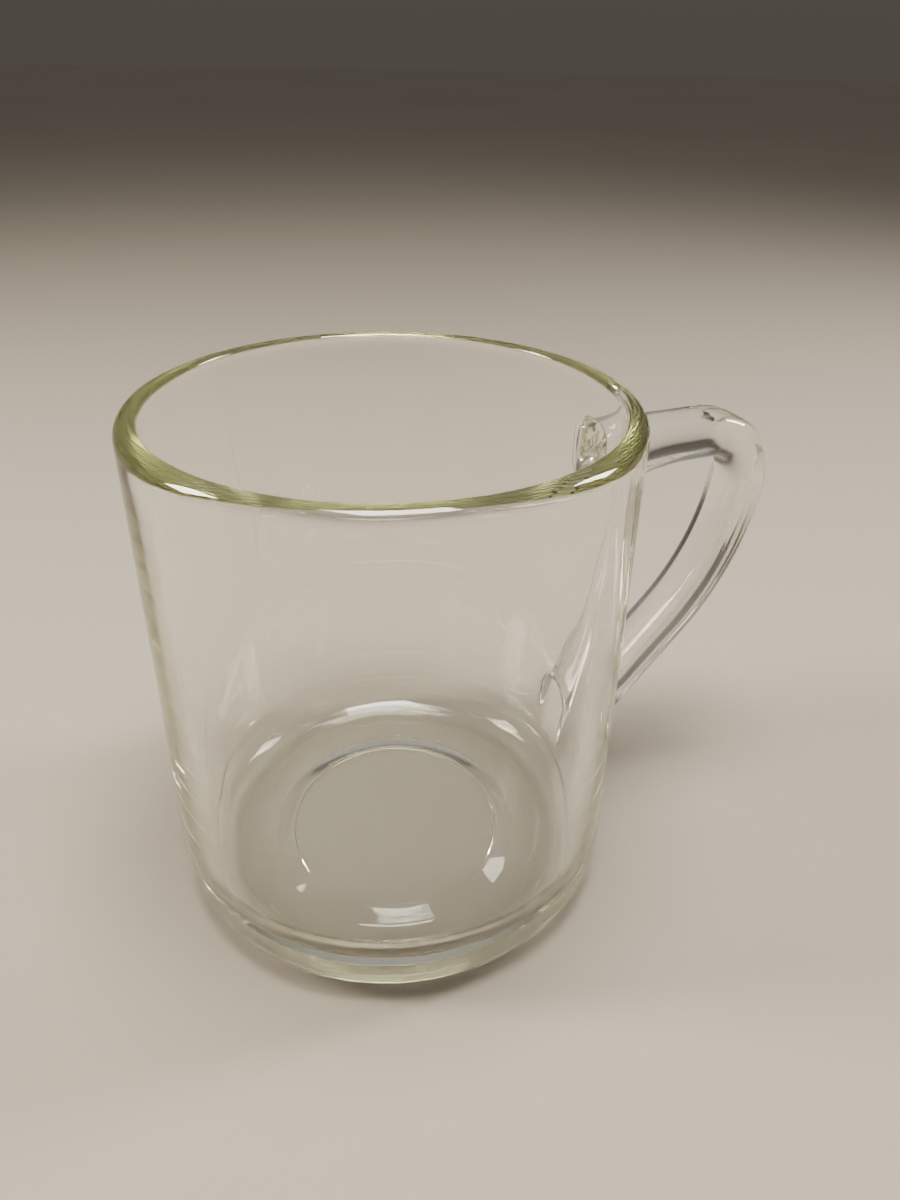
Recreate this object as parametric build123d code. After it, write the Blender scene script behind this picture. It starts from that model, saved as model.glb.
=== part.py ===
from build123d import *
import os
from math import cos, radians, sqrt

# A handled drinking mug of pressed soda-lime glass, in two pieces.
#
# The cup body is one pressing: wall, rounded rim, rounded heel, floor and recessed underside. The handle is a glass
# bar, bent into a hook and fused to the outside of the wall at two welds. The two pieces meet face to face there.
#
# Millimetres, +Z up. The origin is on the cup's axis, on the plane that the foot rests on. The handle points along +X.

# Cup body: the outside
HEIGHT = 93.0
RIM_RADIUS = 41.3  # outside of the wall, just under the rounded rim
HEEL_TOP_RADIUS = 41.8  # outside of the wall, where the heel's arc starts
HEEL_ARC = 8.5

# Cup body: the inside
RIM_THICKNESS = 3.6
RIM_OUTER_ARC = 2.6  # the rim is rounded more on the outside than on the inside
FLOOR_HEIGHT = 5.3  # top of the floor above the foot
FLOOR_RADIUS = 28.0  # edge of the flat floor
FLOOR_FILLET = 9.0

# Cup body: the underside, a flat ring to rest on around a shallow recess
RECESS_RADIUS = 25.2
RECESS_SLOPE_WIDTH = 3.2
RECESS_DEPTH = 1.1

# Handle: a bar of rounded rectangular section, on a centre line in the XZ plane
BAR_WIDTH = 11.0  # along Y
BAR_THICKNESS = 8.0  # in the handle's plane
BAR_CORNER = 3.0
ARM_HEIGHT = 79.3  # centre line of the level top arm
HANDLE_REACH = 73.4  # centre line's furthest point from the cup's axis
SHOULDER_ARC = 10.0
SHOULDER_TURN = 95.0  # degrees that the centre line turns down through at the shoulder
BACK_ARC = 50.0
LEG_TURN = 132.5  # degrees from level to the straight lower leg

# Handle: each end swells where it is fused to the wall
ROOT_RADIUS = 34.0  # the uncut bar runs in to this distance from the axis, deep inside the wall
ARCH_START = 58.0  # distance from the axis from which the arm's underside bows down
ARCH_RADIUS = 40.0
ARM_FLARE_START = 46.0  # distance from the axis
ARM_FLARE = 0.16  # growth on every side, for each millimetre nearer to the axis
LEG_FLARE_START = 46.0  # distance from the axis
LEG_FLARE = 5.0  # degrees

RIM_INNER_ARC = RIM_THICKNESS - RIM_OUTER_ARC


def outside_curve(foot_start):
    """The outside in (radius, height), from a point on the foot plane, round the heel and up to the rim's crown."""
    heel_low = (HEEL_TOP_RADIUS - HEEL_ARC, 0)
    heel_high = (HEEL_TOP_RADIUS, HEEL_ARC)
    rim_out = (RIM_RADIUS, HEIGHT - RIM_OUTER_ARC)
    crown = (RIM_RADIUS - RIM_OUTER_ARC, HEIGHT)
    return [
        Line(foot_start, heel_low),
        TangentArc(heel_low, heel_high, tangent=(1, 0)),
        Line(heel_high, rim_out),
        TangentArc(rim_out, crown, tangent=(0, 1)),
    ]


def inside_curve(floor_centre):
    """The inside in (radius, height), from the rim's crown down the wall and round to the middle of the floor."""
    crown = (RIM_RADIUS - RIM_OUTER_ARC, HEIGHT)
    rim_in = (RIM_RADIUS - RIM_THICKNESS, HEIGHT - RIM_INNER_ARC)
    fillet_high = (FLOOR_RADIUS + FLOOR_FILLET, FLOOR_HEIGHT + FLOOR_FILLET)
    fillet_low = (FLOOR_RADIUS, FLOOR_HEIGHT)
    return [
        TangentArc(crown, rim_in, tangent=(-1, 0)),
        Line(rim_in, fillet_high),
        TangentArc(fillet_high, fillet_low, tangent=(0, -1)),
        Line(fillet_low, floor_centre),
    ]


def underside_curve(floor_centre):
    """The middle of the floor down to the recess, and out to the ring that the cup rests on."""
    recess_centre = (0, RECESS_DEPTH)
    recess_edge = (RECESS_RADIUS - RECESS_SLOPE_WIDTH, RECESS_DEPTH)
    ring_start = (RECESS_RADIUS, 0)
    return Polyline(floor_centre, recess_centre, recess_edge, ring_start)


def turned(edges):
    """Revolve a closed half outline, drawn in (radius, height), once around the Z axis."""
    return revolve(Plane.XZ * make_face(edges), axis=Axis.Z)


def make_cup_body():
    floor_centre = (0, FLOOR_HEIGHT)
    ring_start = (RECESS_RADIUS, 0)
    edges = [*outside_curve(ring_start), *inside_curve(floor_centre), underside_curve(floor_centre)]
    return turned(Curve() + edges)


def make_outer_envelope():
    """The cup's outside shape, filled solid, which the handle's welds fit against."""
    crown = (RIM_RADIUS - RIM_OUTER_ARC, HEIGHT)
    top_centre = (0, HEIGHT)
    edges = [*outside_curve((0, 0)), Polyline(crown, top_centre, (0, 0))]
    return turned(Curve() + edges)


def bar_section(origin, direction):
    """The bar's rounded section, square to its centre line."""
    plane = Plane(origin=origin, x_dir=(0, 1, 0), z_dir=direction)
    return plane * RectangleRounded(BAR_WIDTH, BAR_THICKNESS, BAR_CORNER)


def arch_depth(distance):
    """How far the arm's underside has bowed down, at a distance from the cup's axis."""
    return ARCH_RADIUS - sqrt(ARCH_RADIUS**2 - (ARCH_START - distance) ** 2)


def centre_line():
    """The level arm, the shoulder, the long back and the straight leg, as tangent lines and arcs in (x, z)."""
    arm = Line((ARCH_START, ARM_HEIGHT), (HANDLE_REACH - SHOULDER_ARC, ARM_HEIGHT))
    shoulder = JernArc(arm @ 1, arm % 1, SHOULDER_ARC, -SHOULDER_TURN)
    back = JernArc(shoulder @ 1, shoulder % 1, BACK_ARC, SHOULDER_TURN - LEG_TURN)
    leg_run = ((back @ 1).X - ROOT_RADIUS) / -cos(radians(LEG_TURN))
    leg = Line(back @ 1, (back @ 1) + (back % 1) * leg_run)
    return Plane.XZ * (Curve() + [arm, shoulder, back, leg])


def arm_section(distance):
    """The arm's section at a distance from the axis: the bar's, deepened by the arch and swollen near the wall."""
    growth = max(0, ARM_FLARE_START - distance) * ARM_FLARE
    width = BAR_WIDTH + 2 * growth
    depth = BAR_THICKNESS + arch_depth(distance) + 2 * growth
    top = ARM_HEIGHT + BAR_THICKNESS / 2 + growth
    plane = Plane(origin=(distance, 0, top - depth / 2), x_dir=(0, 1, 0), z_dir=(-1, 0, 0))
    return plane * RectangleRounded(width, depth, BAR_CORNER)


def make_arched_arm():
    """The stretch of arm from the start of its arch to well inside the wall, through evenly spaced sections."""
    steps = 6
    run = ARCH_START - ROOT_RADIUS
    return loft([arm_section(ARCH_START - run * i / steps) for i in range(steps + 1)])


def make_leg_swelling(leg_end, leg_direction):
    """The last stretch of the leg, widening evenly on every side as far as leg_end."""
    run = (LEG_FLARE_START - ROOT_RADIUS) / -leg_direction.X
    return extrude(bar_section(leg_end - leg_direction * run, leg_direction), run, taper=-LEG_FLARE)


def make_handle(outer_envelope):
    path = centre_line()
    bar = sweep(bar_section(path @ 0, path % 0), path=path)
    return (bar + make_arched_arm() + make_leg_swelling(path @ 1, path % 1)) - outer_envelope


def main():
    parts = {
        "cup_body": make_cup_body(),
        "handle": make_handle(make_outer_envelope()),
    }
    os.makedirs("parts", exist_ok=True)
    for name, shape in parts.items():
        export_step(shape, f"parts/{name}.step")
        print(name, "solids", len(shape.solids()), "volume_cm3", round(shape.volume / 1000, 1))


main()
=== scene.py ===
import math
import bmesh
import bpy
from mathutils import Matrix, Vector, noise


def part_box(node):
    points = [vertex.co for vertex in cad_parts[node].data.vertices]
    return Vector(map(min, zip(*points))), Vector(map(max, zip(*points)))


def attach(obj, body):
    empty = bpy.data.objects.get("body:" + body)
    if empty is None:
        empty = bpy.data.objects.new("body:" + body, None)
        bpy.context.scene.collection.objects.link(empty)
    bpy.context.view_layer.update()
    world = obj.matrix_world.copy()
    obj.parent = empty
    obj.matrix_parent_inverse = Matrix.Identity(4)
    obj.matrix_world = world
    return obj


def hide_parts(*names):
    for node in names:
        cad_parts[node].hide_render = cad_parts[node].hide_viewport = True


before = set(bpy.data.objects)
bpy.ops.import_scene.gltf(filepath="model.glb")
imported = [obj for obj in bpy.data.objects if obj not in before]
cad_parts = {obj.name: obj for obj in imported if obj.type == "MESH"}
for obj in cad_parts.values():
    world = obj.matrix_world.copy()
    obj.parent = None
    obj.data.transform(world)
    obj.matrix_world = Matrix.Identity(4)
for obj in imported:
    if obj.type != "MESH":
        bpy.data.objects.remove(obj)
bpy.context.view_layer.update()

MM = 0.001

cup_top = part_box("cup_body")[1]
handle_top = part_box("handle")[1]

# Cup
HEIGHT = cup_top[2] / MM
HEEL_TOP_RADIUS = cup_top[0] / MM
RIM_RADIUS = HEEL_TOP_RADIUS - 0.5  # the wall leans in a little towards the rim
HEEL_ARC = 8.5
RIM_THICKNESS = 3.6
RIM_OUTER_ARC = 2.6  # the rim is rounded more on the outside than on the inside
RIM_INNER_ARC = RIM_THICKNESS - RIM_OUTER_ARC
FLOOR_HEIGHT = 5.3
FLOOR_RADIUS = 28.0
FLOOR_FILLET = 9.0
RECESS_RADIUS = 25.2
RECESS_SLOPE_WIDTH = 3.2
RECESS_DEPTH = 1.1
RECESS_ROUNDING = 0.5
LIP_WIDTH = 0.6  # a narrow level lip where the recess's slope ends, not in the CAD
LIP_STEP = 0.25
LIP_ROUNDING = 0.12
PLUNGER_MARK_WIDTH = 0.9  # a fine raised ring where the flat floor ends, not in the CAD
PLUNGER_MARK_HEIGHT = 0.07
CUP_SEGMENTS = 320

# Unevenness of the fire-polished wall: long upright swells, as the glass flowed
WALL_SWELL = 0.05
SWELL_ACROSS = 9.0
SWELL_UPRIGHT = 45.0
RIM_SWELL = 0.12

# Handle
BAR_WIDTH = 11.0  # along Y
BAR_THICKNESS = 8.0
BAR_CORNER = 3.0
BAR_CROWN = 0.12  # how far the middle of each flat side bulges
ARM_HEIGHT = 79.3
REACH = handle_top[0] / MM - BAR_THICKNESS / 2 - BAR_CROWN
SHOULDER_ARC = 10.0
SHOULDER_TURN = 95.0  # degrees
BACK_ARC = 50.0
LEG_TURN = 132.5  # degrees from level to the straight leg
ARCH_START = 58.0  # from here to the wall, the arm's underside bows down
ARCH_RADIUS = 40.0

# Handle: the melted collars where the bar meets the wall
ARM_ROOT_START = 47.5  # distance from the cup's axis where each end leaves the plain bar
LEG_ROOT_START = 48.5
ROOT_DEPTH = 0.3  # the end face is this far inside the wall's surface
ROOT_PROUD = 0.01  # the collar's edge stands this far off the wall
COLLAR_RUN = 5.0  # longest stretch of bar that a collar bends


# Outlines and meshes


def arc(centre, radius, start, end, steps):
    """Points on a circular arc, from the start angle to the end angle in degrees."""
    angles = [math.radians(start + (end - start) * i / steps) for i in range(steps + 1)]
    return [Vector((centre[0] + radius * math.cos(a), centre[1] + radius * math.sin(a))) for a in angles]


def straight(start, end, spacing):
    """Points from start up to but not including end, about spacing apart."""
    start, end = Vector(start), Vector(end)
    steps = max(1, round((end - start).length / spacing))
    return [start.lerp(end, i / steps) for i in range(steps)]


def rounded_corner(before, corner, after, radius, steps):
    """Points on the small arc that rounds a corner of an outline."""
    way_in = (corner - before).normalized()
    way_out = (after - corner).normalized()
    turn = way_in.angle_signed(way_out)  # positive is clockwise
    start = corner - way_in * radius * math.tan(abs(turn) / 2)
    side = Vector((way_in.y, -way_in.x)) if turn > 0 else Vector((-way_in.y, way_in.x))
    centre = start + side * radius
    spoke = start - centre
    points = []
    for i in range(steps + 1):
        angle = -turn * i / steps
        c, s = math.cos(angle), math.sin(angle)
        points.append(centre + Vector((spoke.x * c - spoke.y * s, spoke.x * s + spoke.y * c)))
    return points


def rounded_outline(corners, radii, spacing):
    """A line through corners, rounded between its ends, with points about spacing apart. No last point."""
    corners = [Vector(corner) for corner in corners]
    outline = []
    here = corners[0]
    for before, corner, after, radius in zip(corners, corners[1:], corners[2:], radii):
        bend = rounded_corner(before, corner, after, radius, 6)
        outline += straight(here, bend[0], spacing) + bend[:-1]
        here = bend[-1]
    return outline + straight(here, corners[-1], spacing)


def smooth_step(low, high, value):
    """0 below low, 1 above high, and an even S between them."""
    t = min(1, max(0, (value - low) / (high - low)))
    return t * t * (3 - 2 * t)


def new_object(name, points, faces, sharp_rings=()):
    """An object from points in millimetres. Edges between two points of one of sharp_rings stay sharp."""
    mesh = bpy.data.meshes.new(name)
    mesh.from_pydata([tuple(p * MM for p in point) for point in points], [], faces)
    work = bmesh.new()
    work.from_mesh(mesh)
    bmesh.ops.recalc_face_normals(work, faces=work.faces)
    for face in work.faces:
        face.smooth = True
    for edge in work.edges:
        ends = {vert.index for vert in edge.verts}
        if any(ends <= ring for ring in sharp_rings):
            edge.smooth = False
    work.to_mesh(mesh)
    work.free()
    obj = bpy.data.objects.new(name, mesh)
    bpy.context.collection.objects.link(obj)
    return obj


# The cup


def outer_radius(height):
    """The wall's outside radius at a height above the heel."""
    share = (height - HEEL_ARC) / (HEIGHT - RIM_OUTER_ARC - HEEL_ARC)
    return HEEL_TOP_RADIUS + (RIM_RADIUS - HEEL_TOP_RADIUS) * share


def underside_outline(ring_end):
    """From the middle of the recess, down its lip and slope, and out over the ring that it stands on."""
    slope_end = RECESS_RADIUS - RECESS_SLOPE_WIDTH
    lip_end = slope_end - LIP_WIDTH
    lip_height = RECESS_DEPTH - LIP_STEP
    corners = [
        (0, RECESS_DEPTH),
        (lip_end - LIP_STEP, RECESS_DEPTH),
        (lip_end, lip_height),
        (slope_end, lip_height),
        (RECESS_RADIUS, 0),
        ring_end,
    ]
    return rounded_outline(corners, (LIP_ROUNDING, LIP_ROUNDING, RECESS_ROUNDING, RECESS_ROUNDING), 1.5)


def plunger_mark():
    """The fine raised ring in the floor, from the fillet inwards."""
    points = []
    for i in range(1, 12):
        share = i / 12
        rise = PLUNGER_MARK_HEIGHT * math.sin(math.pi * share) ** 2
        points.append(Vector((FLOOR_RADIUS - PLUNGER_MARK_WIDTH * share, FLOOR_HEIGHT + rise)))
    return points


def cup_outline():
    """Half the cup's outline in (radius, height), and the number of points on the outside."""
    heel_centre = (HEEL_TOP_RADIUS - HEEL_ARC, HEEL_ARC)
    crown_radius = RIM_RADIUS - RIM_OUTER_ARC
    fillet_centre = (FLOOR_RADIUS, FLOOR_HEIGHT + FLOOR_FILLET)
    heel = arc(heel_centre, HEEL_ARC, -90, 0, 30)
    rim_out = arc((crown_radius, HEIGHT - RIM_OUTER_ARC), RIM_OUTER_ARC, 0, 90, 16)
    rim_in = arc((crown_radius, HEIGHT - RIM_INNER_ARC), RIM_INNER_ARC, 90, 180, 10)
    fillet = arc(fillet_centre, FLOOR_FILLET, 0, -90, 30)
    outline = underside_outline((heel_centre[0], 0)) + heel
    outline += straight(heel[-1], rim_out[0], 2)[1:] + rim_out
    outside = len(outline)
    outline += rim_in[1:] + straight(rim_in[-1], fillet[0], 2)[1:] + fillet + plunger_mark()
    flat_edge = (FLOOR_RADIUS - PLUNGER_MARK_WIDTH, FLOOR_HEIGHT)
    outline += straight(flat_edge, (0, FLOOR_HEIGHT), 2) + [Vector((0, FLOOR_HEIGHT))]
    return outline, outside


def swell(angle, height, seed):
    """Smooth unevenness between -1 and 1, stretched upright, the same all round the seam at angle 0."""
    round_x = math.cos(angle) * RIM_RADIUS / SWELL_ACROSS
    round_y = math.sin(angle) * RIM_RADIUS / SWELL_ACROSS
    return noise.noise(Vector((round_x + seed, round_y, height / SWELL_UPRIGHT)))


def uneven(radius, height, angle, inside):
    """Where a point of the cup's outline lies, once the wall's swells and the rim's are added."""
    above_heel = smooth_step(12, 24, height)
    below_rim = 1 - smooth_step(HEIGHT - 8, HEIGHT - 2, height)
    wall_share = above_heel * below_rim
    push = WALL_SWELL * wall_share * swell(angle, height, 7 if inside else 0)
    if not inside:
        push -= WALL_SWELL * wall_share  # so that the outside never stands past the CAD's
    near_rim = smooth_step(HEIGHT - 25, HEIGHT, height)
    ripple = noise.noise(Vector((2 * math.cos(angle), 2 * math.sin(angle), 3)))
    dip = RIM_SWELL * near_rim * (0.5 + 0.5 * ripple)
    reach = radius + push
    return (reach * math.cos(angle), reach * math.sin(angle), height - dip)


def make_cup():
    outline, outside = cup_outline()
    rings = outline[1:-1]
    points = [(0, 0, outline[0].y)]
    for step, (radius, height) in enumerate(rings):
        for k in range(CUP_SEGMENTS):
            angle = 2 * math.pi * k / CUP_SEGMENTS
            points.append(uneven(radius, height, angle, step + 1 >= outside))
    points.append((0, 0, outline[-1].y))

    def at(ring, k):
        return 1 + ring * CUP_SEGMENTS + k % CUP_SEGMENTS

    last_ring = len(rings) - 1
    top = len(points) - 1
    faces = [(0, at(0, k), at(0, k + 1)) for k in range(CUP_SEGMENTS)]
    for ring in range(last_ring):
        for k in range(CUP_SEGMENTS):
            faces.append((at(ring, k), at(ring + 1, k), at(ring + 1, k + 1), at(ring, k + 1)))
    faces += [(top, at(last_ring, k + 1), at(last_ring, k)) for k in range(CUP_SEGMENTS)]
    return new_object("cup_glass", points, faces)


# The handle


def bar_section():
    """The bar's section as (across, out, normal across, normal out). Across is along Y."""
    half_width, half_depth = BAR_WIDTH / 2, BAR_THICKNESS / 2
    flat_across, flat_out = half_width - BAR_CORNER, half_depth - BAR_CORNER
    section = []
    for quarter in range(4):
        start = 90 * quarter
        side_x = 1 if quarter in (0, 3) else -1
        side_y = 1 if quarter in (0, 1) else -1
        for point in arc((side_x * flat_across, side_y * flat_out), BAR_CORNER, start, start + 90, 10):
            section.append(point)
        turned = (quarter + 1) % 2 == 1
        length = flat_across if turned else flat_out
        steps = 8 if turned else 4
        last = section[-1]
        ahead = Vector((-2 * length * side_x, 0)) if turned else Vector((0, -2 * length * side_y))
        for i in range(1, steps):
            section.append(last + ahead * i / steps)
    crowned = []
    for point in section:
        across, out = point
        if abs(across) < flat_across:
            out += math.copysign(BAR_CROWN * (1 - (across / flat_across) ** 2), out)
        if abs(out) < flat_out:
            across += math.copysign(BAR_CROWN * (1 - (out / flat_out) ** 2), across)
        corner_x = max(-flat_across, min(flat_across, point.x))
        corner_y = max(-flat_out, min(flat_out, point.y))
        normal = Vector((point.x - corner_x, point.y - corner_y)).normalized()
        crowned.append((across, out, normal.x, normal.y))
    return crowned


def hook_stations():
    """(x, z, direction in radians) along the bar's centre line, from the arm's root to the leg's."""
    bend = REACH - SHOULDER_ARC
    stations = [(p.x, p.y, 0.0) for p in straight((ARM_ROOT_START, ARM_HEIGHT), (bend, ARM_HEIGHT), 0.8)]
    shoulder_centre = Vector((bend, ARM_HEIGHT - SHOULDER_ARC))
    for i in range(33):
        turn = math.radians(SHOULDER_TURN * i / 32)
        spoke = Vector((math.sin(turn), math.cos(turn)))
        point = shoulder_centre + spoke * SHOULDER_ARC
        stations.append((point.x, point.y, -turn))
    back_centre = shoulder_centre - spoke * (BACK_ARC - SHOULDER_ARC)
    for i in range(1, 25):
        turn = math.radians(SHOULDER_TURN + (LEG_TURN - SHOULDER_TURN) * i / 24)
        spoke = Vector((math.sin(turn), math.cos(turn)))
        point = back_centre + spoke * BACK_ARC
        stations.append((point.x, point.y, -turn))
    way = Vector((math.cos(turn), -math.sin(turn)))
    run = (LEG_ROOT_START - point.x) / way.x
    leg_end = point + way * run
    stations += [(p.x, p.y, -turn) for p in straight(point, leg_end, 1.0)[1:]]
    stations.append((leg_end.x, leg_end.y, -turn))
    return stations


def bar_point(station, corner):
    """The point of the section's corner at a station, in space."""
    x, z, direction = station
    across, out, _, normal_out = corner
    bow = max(0, ARCH_START - x) ** 2 / (2 * ARCH_RADIUS) if direction == 0 else 0
    out -= bow * smooth_step(0.5, -0.5, out / (BAR_THICKNESS / 2 - BAR_CORNER)) if bow else 0
    return Vector((x - math.sin(direction) * out, across, z + math.cos(direction) * out))


def meet_wall(point, way):
    """How far along way from point the cup's outside wall is."""
    low, high = 0.0, 30.0
    for _ in range(40):
        middle = (low + high) / 2
        q = point + way * middle
        if math.hypot(q.x, q.y) > outer_radius(q.z):
            low = middle
        else:
            high = middle
    return low


def on_wall(angle, height, stand_off):
    reach = outer_radius(height) + stand_off
    return Vector((reach * math.cos(angle), reach * math.sin(angle), height))


def collar(before, start, normal, spread):
    """One line of the collar's skin: straight on past start, then bending out to lie along the wall."""
    way = (start - before).normalized()
    distance = meet_wall(start, way)
    meeting = start + way * distance
    angle = math.atan2(meeting.y, meeting.x)
    outward = Vector((math.cos(angle), math.sin(angle), 0))
    flat = (normal - outward * normal.dot(outward)).normalized()
    around = Vector((-math.sin(angle), math.cos(angle), 0))
    edge_angle = angle + spread * flat.dot(around) / outer_radius(meeting.z)
    edge = on_wall(edge_angle, meeting.z + spread * flat.z, ROOT_PROUD)
    bend_start = meeting - way * min(COLLAR_RUN, distance)
    line = [start.lerp(bend_start, i / 4) for i in range(1, 4)]
    for i in range(13):
        t = i / 12
        line.append(bend_start * (1 - t) ** 2 + meeting * (2 * t * (1 - t)) + edge * t**2)
    return line, (edge_angle, edge.z)


def root_end(lines, edges):
    """Rings of the collar's skin, then of the end face, which follows the wall just under its surface."""
    rings = [list(ring) for ring in zip(*lines)]
    sharp = len(rings) - 1
    middle_angle = sum(angle for angle, _ in edges) / len(edges)
    middle_height = sum(height for _, height in edges) / len(edges)
    for share in (1, 0.8, 0.6, 0.4, 0.2):
        ring = []
        for angle, height in edges:
            at_angle = middle_angle + (angle - middle_angle) * share
            ring.append(on_wall(at_angle, middle_height + (height - middle_height) * share, -ROOT_DEPTH))
        rings.append(ring)
    return rings, sharp, on_wall(middle_angle, middle_height, -ROOT_DEPTH)


def make_handle():
    section = bar_section()
    stations = hook_stations()
    bar = [[bar_point(station, corner) for corner in section] for station in stations]
    ends = []
    for rings, spreads in ((bar[1::-1], (0.7, 1.0, 0.8)), (bar[-2:], (1.0, 1.5, 2.5))):
        last = stations[0] if rings[0] is bar[1] else stations[-1]
        side_spread, outer_spread, inner_spread = spreads
        lines, edges = [], []
        for k, (_, _, normal_across, normal_out) in enumerate(section):
            direction = last[2]
            normal_x, normal_z = -math.sin(direction) * normal_out, math.cos(direction) * normal_out
            normal = Vector((normal_x, normal_across, normal_z))
            facing = outer_spread if normal_out > 0 else inner_spread
            spread = side_spread + (facing - side_spread) * normal_out**2
            line, edge = collar(rings[0][k], rings[1][k], normal, spread)
            lines.append(line)
            edges.append(edge)
        ends.append(root_end(lines, edges))
    (arm_rings, arm_sharp, arm_middle), (leg_rings, leg_sharp, leg_middle) = ends
    rings = arm_rings[::-1] + bar + leg_rings
    count = len(section)
    points = [tuple(p) for ring in rings for p in ring] + [tuple(arm_middle), tuple(leg_middle)]

    def at(ring, k):
        return ring * count + k % count

    faces = []
    for ring in range(len(rings) - 1):
        for k in range(count):
            faces.append((at(ring, k), at(ring + 1, k), at(ring + 1, k + 1), at(ring, k + 1)))
    arm_tip, leg_tip = len(points) - 2, len(points) - 1
    last_ring = len(rings) - 1
    faces += [(arm_tip, at(0, k), at(0, k + 1)) for k in range(count)]
    faces += [(leg_tip, at(last_ring, k + 1), at(last_ring, k)) for k in range(count)]
    arm_edge = len(arm_rings) - 1 - arm_sharp
    leg_edge = len(arm_rings) + len(bar) + leg_sharp
    edge_rings = (arm_edge - 1, arm_edge, leg_edge, leg_edge + 1)
    sharp_rings = [set(range(ring * count, (ring + 1) * count)) for ring in edge_rings]
    return new_object("handle_glass", points, faces, sharp_rings)


# Materials

GLASS_IOR = 1.52
CUP_TINT, CUP_DENSITY = (0.84, 0.88, 0.58), 10
HANDLE_TINT, HANDLE_DENSITY = (0.84, 0.88, 0.66), 6
FLOW_SCALE = 140
FLOW_UPRIGHT = 0.18  # flow marks are this much stretched along Z
FLOW_DEPTH = 0.00006  # metres
SMUDGE_SCALE = 60
SMUDGE_ROUGHNESS = 0.05


def glass_material(name, tint, density):
    """Clear glass: faint flow marks and smudges in the surface, and a tint that deepens with thickness."""
    material = bpy.data.materials.new(name)
    material.use_nodes = True
    nodes, links = material.node_tree.nodes, material.node_tree.links
    shader = nodes["Principled BSDF"]
    shader.inputs["Base Color"].default_value = (1, 1, 1, 1)
    shader.inputs["Transmission Weight"].default_value = 1
    shader.inputs["IOR"].default_value = GLASS_IOR

    place = nodes.new("ShaderNodeTexCoord")
    flow_scale = nodes.new("ShaderNodeMapping")
    flow_scale.inputs["Scale"].default_value = (1, 1, FLOW_UPRIGHT)
    links.new(place.outputs["Object"], flow_scale.inputs["Vector"])
    flow = nodes.new("ShaderNodeTexNoise")
    flow.inputs["Scale"].default_value = FLOW_SCALE
    flow.inputs["Detail"].default_value = 1.5
    links.new(flow_scale.outputs["Vector"], flow.inputs["Vector"])
    bump = nodes.new("ShaderNodeBump")
    bump.inputs["Strength"].default_value = 0.5
    bump.inputs["Distance"].default_value = FLOW_DEPTH
    links.new(flow.outputs["Fac"], bump.inputs["Height"])
    links.new(bump.outputs["Normal"], shader.inputs["Normal"])

    smudge = nodes.new("ShaderNodeTexNoise")
    smudge.inputs["Scale"].default_value = SMUDGE_SCALE
    smudge.inputs["Detail"].default_value = 4
    links.new(place.outputs["Object"], smudge.inputs["Vector"])
    polish = nodes.new("ShaderNodeMapRange")
    polish.inputs["From Min"].default_value = 0.5
    polish.inputs["From Max"].default_value = 0.75
    polish.inputs["To Min"].default_value = 0.0
    polish.inputs["To Max"].default_value = SMUDGE_ROUGHNESS
    links.new(smudge.outputs["Fac"], polish.inputs["Value"])
    links.new(polish.outputs["Result"], shader.inputs["Roughness"])

    absorb = nodes.new("ShaderNodeVolumeAbsorption")
    absorb.inputs["Color"].default_value = (*tint, 1)
    absorb.inputs["Density"].default_value = density
    links.new(absorb.outputs["Volume"], nodes["Material Output"].inputs["Volume"])
    return material


def floor_material():
    """Plain pale matt board, with barely any mottle."""
    material = bpy.data.materials.new("pale_floor")
    material.use_nodes = True
    nodes, links = material.node_tree.nodes, material.node_tree.links
    shader = nodes["Principled BSDF"]
    shader.inputs["Roughness"].default_value = 0.9
    mottle = nodes.new("ShaderNodeTexNoise")
    mottle.inputs["Scale"].default_value = 30
    ramp = nodes.new("ShaderNodeValToRGB")
    ramp.color_ramp.elements[0].color = (0.32, 0.293, 0.255, 1)
    ramp.color_ramp.elements[1].color = (0.35, 0.32, 0.28, 1)
    links.new(mottle.outputs["Fac"], ramp.inputs["Fac"])
    links.new(ramp.outputs["Color"], shader.inputs["Base Color"])
    return material


# Floor, light and camera

FLOOR_REACH = 8  # metres, so that the floor's edge is lost in the distance
WORLD_STRENGTH = 0.35
HORIZON_COLOUR = (0.30, 0.27, 0.24, 1)  # about as dark as the far floor
OVERHEAD_COLOUR = (0.92, 0.90, 0.87, 1)
GLASS_BOUNCES = 32  # light crosses many glass faces between the camera and the floor


def make_floor():
    bpy.ops.mesh.primitive_circle_add(vertices=128, radius=FLOOR_REACH, fill_type="NGON")
    floor = bpy.context.object
    floor.name = "floor"
    floor.data.materials.append(floor_material())


def soft_light(name, around, above, distance, size, power, colour):
    """A soft box facing the middle of the mug, around degrees round from +X and above degrees up."""
    data = bpy.data.lights.new(name, "AREA")
    data.shape = "RECTANGLE"
    data.size, data.size_y = size
    data.energy = power
    data.color = colour
    light = bpy.data.objects.new(name, data)
    level = distance * math.cos(math.radians(above))
    around = math.radians(around)
    rise = distance * math.sin(math.radians(above))
    away = Vector((level * math.cos(around), level * math.sin(around), rise))
    light.location = Vector((0, 0, HEIGHT * MM / 2)) + away
    light.rotation_euler = away.to_track_quat("Z", "Y").to_euler()
    bpy.context.collection.objects.link(light)


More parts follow.
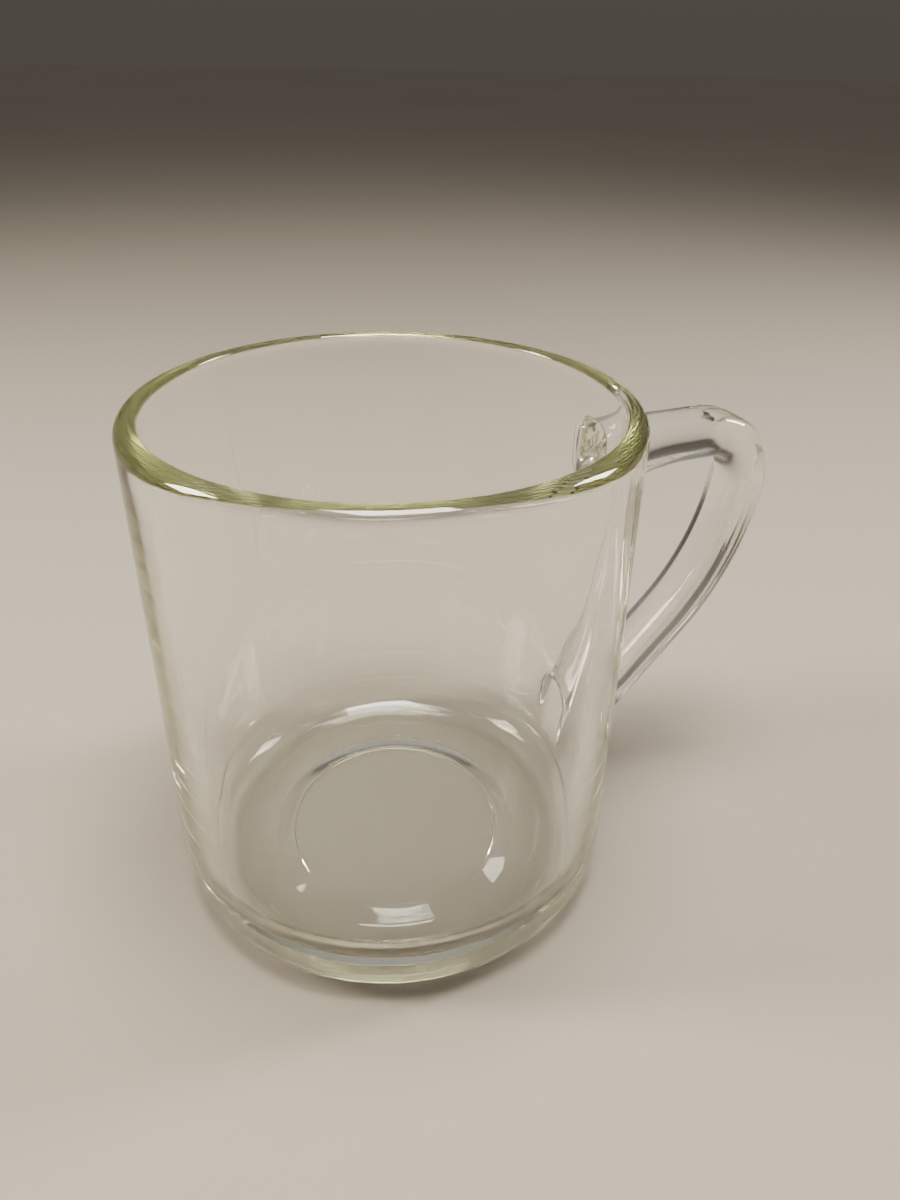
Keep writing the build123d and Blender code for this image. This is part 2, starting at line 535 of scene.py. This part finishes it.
def studio_world():
    """An even sky, bright overhead and dim near the horizon, so that glass edges have dark to show."""
    world = bpy.data.worlds.new("studio")
    world.use_nodes = True
    nodes, links = world.node_tree.nodes, world.node_tree.links
    place = nodes.new("ShaderNodeTexCoord")
    upright = nodes.new("ShaderNodeSeparateXYZ")
    links.new(place.outputs["Generated"], upright.inputs["Vector"])
    ramp = nodes.new("ShaderNodeValToRGB")
    ramp.color_ramp.interpolation = "EASE"
    horizon, overhead = ramp.color_ramp.elements
    horizon.position, horizon.color = 0.0, HORIZON_COLOUR
    overhead.position, overhead.color = 0.9, OVERHEAD_COLOUR
    links.new(upright.outputs["Z"], ramp.inputs["Fac"])
    links.new(ramp.outputs["Color"], nodes["Background"].inputs["Color"])
    nodes["Background"].inputs["Strength"].default_value = WORLD_STRENGTH
    return world


def make_lights():
    soft_light("overhead", -90, 84, 0.6, (0.28, 0.28), 4.2, (1.0, 0.95, 0.87))
    soft_light("key_left", 160, 32, 0.75, (0.16, 0.3), 3.8, (1.0, 0.92, 0.80))
    soft_light("key_right", -5, 32, 0.8, (0.14, 0.3), 3.0, (1.0, 0.95, 0.88))
    bpy.context.scene.world = studio_world()


CAMERA_DISTANCE = 137.5  # from the cup's axis, level
CAMERA_HEIGHT = 139.8
CAMERA_SIDE = 19.0  # degrees round from facing the handle's plane squarely
LOOK_DOWN = 31.43
LOOK_RIGHT = 4.47
ROLL = -1.17
LENS = 27.0


def make_camera():
    data = bpy.data.cameras.new("camera")
    data.lens = LENS
    data.clip_start = 0.01
    camera = bpy.data.objects.new("camera", data)
    side = Matrix.Rotation(math.radians(-CAMERA_SIDE), 4, "Z")
    place = side @ Vector((0, -CAMERA_DISTANCE, CAMERA_HEIGHT)) * MM
    turn = Matrix.Rotation(math.radians(-LOOK_RIGHT), 4, "Z")
    tilt = Matrix.Rotation(math.radians(90 - LOOK_DOWN), 4, "X")
    aim = turn @ tilt
    roll = Matrix.Rotation(math.radians(-ROLL), 4, "Z")
    camera.matrix_world = Matrix.Translation(place) @ side @ aim @ roll
    bpy.context.collection.objects.link(camera)
    bpy.context.scene.camera = camera


bpy.context.scene.cycles.max_bounces = GLASS_BOUNCES
bpy.context.scene.cycles.transmission_bounces = GLASS_BOUNCES
bpy.context.scene.cycles.glossy_bounces = GLASS_BOUNCES
bpy.context.scene.view_settings.look = "AgX - High Contrast"
make_camera()
make_lights()
make_floor()

cup = make_cup()
cup.data.materials.append(glass_material("cup_glass", CUP_TINT, CUP_DENSITY))
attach(cup, "root")
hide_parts("cup_body")

handle = make_handle()
handle.data.materials.append(glass_material("handle_glass", HANDLE_TINT, HANDLE_DENSITY))
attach(handle, "root")
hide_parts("handle")
